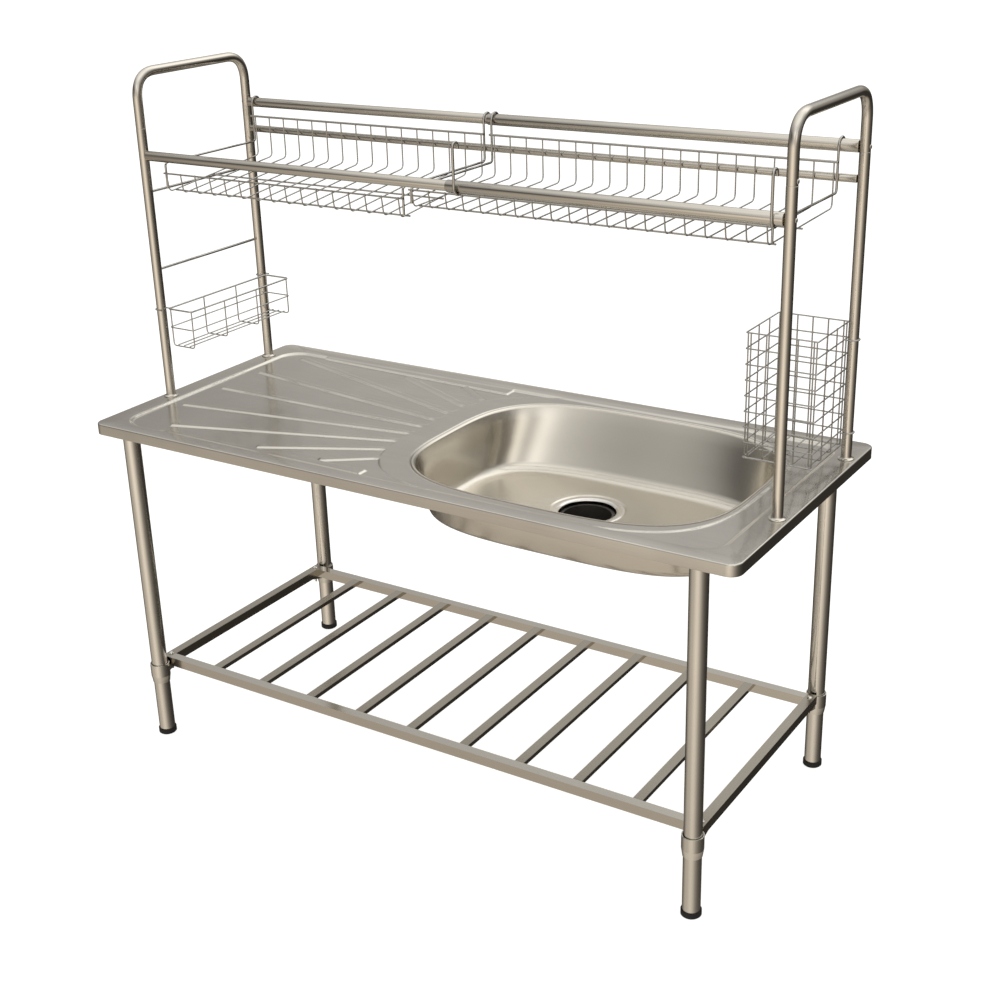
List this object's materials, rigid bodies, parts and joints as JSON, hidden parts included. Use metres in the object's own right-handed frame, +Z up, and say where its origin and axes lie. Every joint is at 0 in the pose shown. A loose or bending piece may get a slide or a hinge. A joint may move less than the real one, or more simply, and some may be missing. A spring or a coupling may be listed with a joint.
{
  "type": "free-standing sink bench with dish rack",
  "caption": "Free-standing stainless sink bench with a pressed drainer, a deep bowl, a slatted lower shelf and a tubular over-sink dish rack with lift-off wire baskets.",
  "frame": {"origin": "on the floor under the middle of the worktop", "axes": "+X to the right seen from the front, +Y to the back, +Z up"},
  "size_m": [1.6, 0.7, 1.5608],
  "materials": {
    "worktop_steel": "satin brushed",
    "bowl_steel": "satin drawn",
    "tube_steel": "polished tube",
    "bright_steel": "bright",
    "wire_chrome": "bright wire",
    "dark_plastic": "matt",
    "foot_plastic": "matt",
    "seal_rubber": "matt"
  },
  "bodies": {
    "bench": {"back_left_leg": "tube_steel", "back_left_post": "tube_steel", "back_right_leg": "tube_steel", "back_right_post": "tube_steel", "collar_bolts": "bright_steel", "foot_caps": "foot_plastic", "front_left_leg": "tube_steel", "front_left_post": "tube_steel", "front_rail_left": "tube_steel", "front_rail_right": "tube_steel", "front_right_leg": "tube_steel", "front_right_post": "tube_steel", "left_hoop": "tube_steel", "leg_collars": "tube_steel", "leg_sockets": "tube_steel", "lower_back_rail": "tube_steel", "lower_rung": "wire_chrome", "post_bolts": "bright_steel", "rail_hooks": "wire_chrome", "right_hoop": "tube_steel", "shelf_back_rail": "tube_steel", "shelf_front_rail": "tube_steel", "shelf_left_rail": "tube_steel", "shelf_right_rail": "tube_steel", "shelf_slat_1": "tube_steel", "shelf_slat_2": "tube_steel", "shelf_slat_3": "tube_steel", "shelf_slat_4": "tube_steel", "shelf_slat_5": "tube_steel", "shelf_slat_6": "tube_steel", "shelf_slat_7": "tube_steel", "shelf_slat_8": "tube_steel", "shelf_slat_9": "tube_steel", "sink_bowl": "bowl_steel", "upper_back_rail_left": "tube_steel", "upper_back_rail_right": "tube_steel", "upper_rung": "wire_chrome", "waste_cup": "dark_plastic", "waste_flange": "bright_steel", "waste_gasket": "seal_rubber", "worktop": "worktop_steel"},
    "dish_left": {"dish_basket_left": "wire_chrome", "basket_brackets_left": "wire_chrome"},
    "dish_right": {"dish_basket_right": "wire_chrome", "basket_brackets_right": "wire_chrome"},
    "side_rack": {"side_basket": "wire_chrome"},
    "cutlery_rack": {"cutlery_basket": "wire_chrome"},
    "strainer": {"strainer_basket": "dark_plastic"}
  },
  "joints": [
    {"name": "dish_left_lift", "type": "slide", "parent": "bench", "child": "dish_left", "axis": [0, 0, 1], "range_m": [0, 0.06]},
    {"name": "dish_right_lift", "type": "slide", "parent": "bench", "child": "dish_right", "axis": [0, 0, 1], "range_m": [0, 0.06]},
    {"name": "side_rack_lift", "type": "slide", "parent": "bench", "child": "side_rack", "axis": [0, 0, 1], "range_m": [0, 0.06]},
    {"name": "cutlery_rack_lift", "type": "slide", "parent": "bench", "child": "cutlery_rack", "axis": [0, 0, 1], "range_m": [0, 0.06]},
    {"name": "strainer_lift", "type": "slide", "parent": "bench", "child": "strainer", "axis": [0, 0, 1], "range_m": [0, 0.12]}
  ]
}
